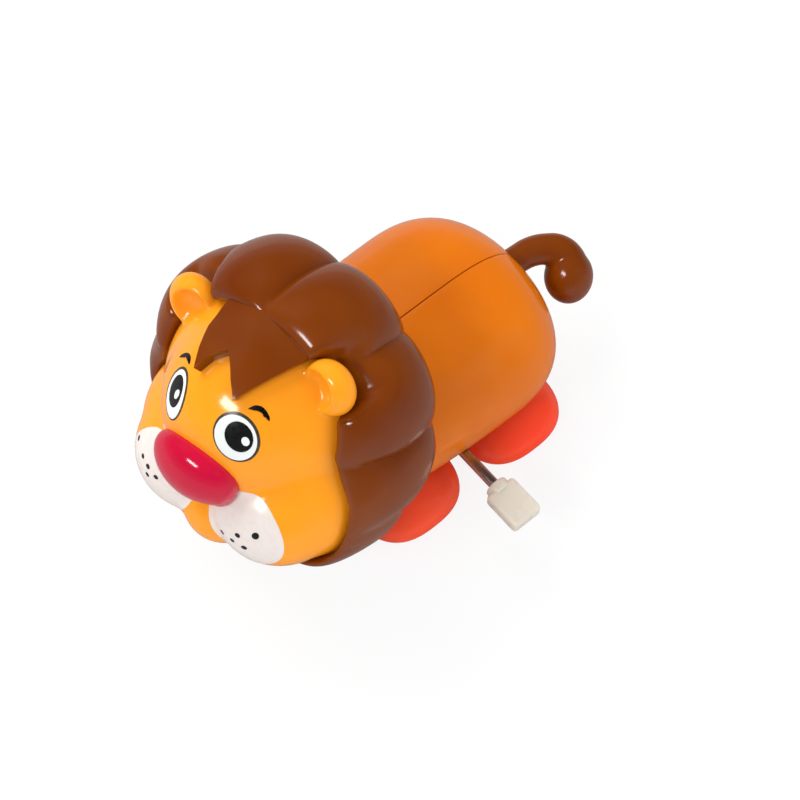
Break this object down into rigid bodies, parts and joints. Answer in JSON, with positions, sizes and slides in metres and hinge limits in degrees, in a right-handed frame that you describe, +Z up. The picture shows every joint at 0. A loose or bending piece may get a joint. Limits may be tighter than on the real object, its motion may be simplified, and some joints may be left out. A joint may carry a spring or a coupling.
{
  "type": "wind-up walking toy",
  "caption": "Small plastic lion that walks by clockwork: a side key winds a spring motor, cranks swing its shoe feet, and the head rocks on a neck pin.",
  "frame": {"origin": "On the floor plane under the crossing of the winding key's axis and the body's middle plane.", "axes": "+Z is up, the lion faces -Y, its tail is at +Y, and +X is its left side with the winding key."},
  "size_m": [0.0649, 0.0883, 0.057],
  "materials": {
    "body_plastic": "moulded, glossy orange",
    "face_plastic": "moulded, glossy yellow",
    "mane_plastic": "moulded, glossy brown",
    "nose_plastic": "moulded, glossy crimson",
    "foot_plastic": "moulded, glossy orange-red",
    "key_plastic": "moulded, milky white",
    "motor_steel": "plain bright steel",
    "gear_brass": "stamped brass"
  },
  "bodies": {
    "body": {"body_shell_left": "body_plastic", "body_shell_right": "body_plastic", "belly_pan": "body_plastic", "shell_screws": "motor_steel", "neck_pin": "motor_steel", "neck_washer": "motor_steel", "tail_clip": "motor_steel", "motor_plate_left": "motor_steel", "motor_plate_right": "motor_steel", "motor_pillars": "motor_steel", "mainspring": "motor_steel"},
    "key": {"winding_shaft": "motor_steel", "key_knob": "key_plastic", "ratchet_wheel": "gear_brass"},
    "great_wheel": {"great_wheel": "gear_brass", "click_spring": "motor_steel"},
    "front_axle": {"front_axle": "motor_steel", "front_axle_gear": "gear_brass", "front_crank_left": "motor_steel", "front_crank_right": "motor_steel"},
    "rear_axle": {"rear_axle": "motor_steel", "rear_axle_gear": "gear_brass", "rear_crank_left": "motor_steel", "rear_crank_right": "motor_steel"},
    "left_walker": {"walking_bar_left": "foot_plastic", "front_left_foot": "foot_plastic", "rear_left_foot": "foot_plastic"},
    "right_walker": {"walking_bar_right": "foot_plastic", "front_right_foot": "foot_plastic", "rear_right_foot": "foot_plastic"},
    "second_arbor": {"second_arbor": "motor_steel", "second_pinion": "gear_brass", "second_wheel": "gear_brass"},
    "governor": {"governor_arbor": "motor_steel", "governor_pinion": "gear_brass", "flywheel": "motor_steel"},
    "head": {"face_shell": "face_plastic", "mane_shell": "mane_plastic", "neck_plate": "mane_plastic", "forelock": "mane_plastic", "nose": "nose_plastic", "head_screws": "motor_steel"},
    "tail": {"tail": "mane_plastic"}
  },
  "joints": [
    {"name": "key_wind", "type": "hinge", "parent": "body", "child": "key", "pos_m": [0, 0, 0.011], "axis": [1, 0, 0], "continuous": true},
    {"name": "great_wheel_spin", "type": "hinge", "parent": "body", "child": "great_wheel", "pos_m": [0, 0, 0.011], "axis": [1, 0, 0], "continuous": true},
    {"name": "front_axle_spin", "type": "hinge", "parent": "body", "child": "front_axle", "pos_m": [0, -0.01038, 0.008], "axis": [1, 0, 0], "continuous": true},
    {"name": "rear_axle_spin", "type": "hinge", "parent": "body", "child": "rear_axle", "pos_m": [0, 0.01038, 0.008], "axis": [1, 0, 0], "continuous": true},
    {"name": "left_walk", "type": "hinge", "parent": "front_axle", "child": "left_walker", "pos_m": [0.013, -0.00887, 0.008], "axis": [1, 0, 0], "continuous": true},
    {"name": "right_walk", "type": "hinge", "parent": "front_axle", "child": "right_walker", "pos_m": [-0.013, -0.01188, 0.008], "axis": [1, 0, 0], "continuous": true},
    {"name": "second_spin", "type": "hinge", "parent": "body", "child": "second_arbor", "pos_m": [0, 0.0065, 0.01963], "axis": [1, 0, 0], "continuous": true},
    {"name": "governor_spin", "type": "hinge", "parent": "body", "child": "governor", "pos_m": [0, 0.01501, 0.02256], "axis": [1, 0, 0], "continuous": true},
    {"name": "head_rock", "type": "hinge", "parent": "body", "child": "head", "pos_m": [0.00016, -0.02399, 0.02659], "axis": [0.0969, -0.9221, 0.3746], "range_deg": [-22, 0]},
    {"name": "tail_wag", "type": "hinge", "parent": "body", "child": "tail", "pos_m": [0, 0.0234, 0.0204], "axis": [0, 0, 1], "range_deg": [-5, 7]}
  ],
  "couplings": [
    {"joint": "front_axle_spin", "follows": "great_wheel_spin", "ratio": -2},
    {"joint": "rear_axle_spin", "follows": "great_wheel_spin", "ratio": -2},
    {"joint": "left_walk", "follows": "great_wheel_spin", "ratio": 2},
    {"joint": "right_walk", "follows": "great_wheel_spin", "ratio": 2},
    {"joint": "second_spin", "follows": "great_wheel_spin", "ratio": -2},
    {"joint": "governor_spin", "follows": "great_wheel_spin", "ratio": 3}
  ]
}
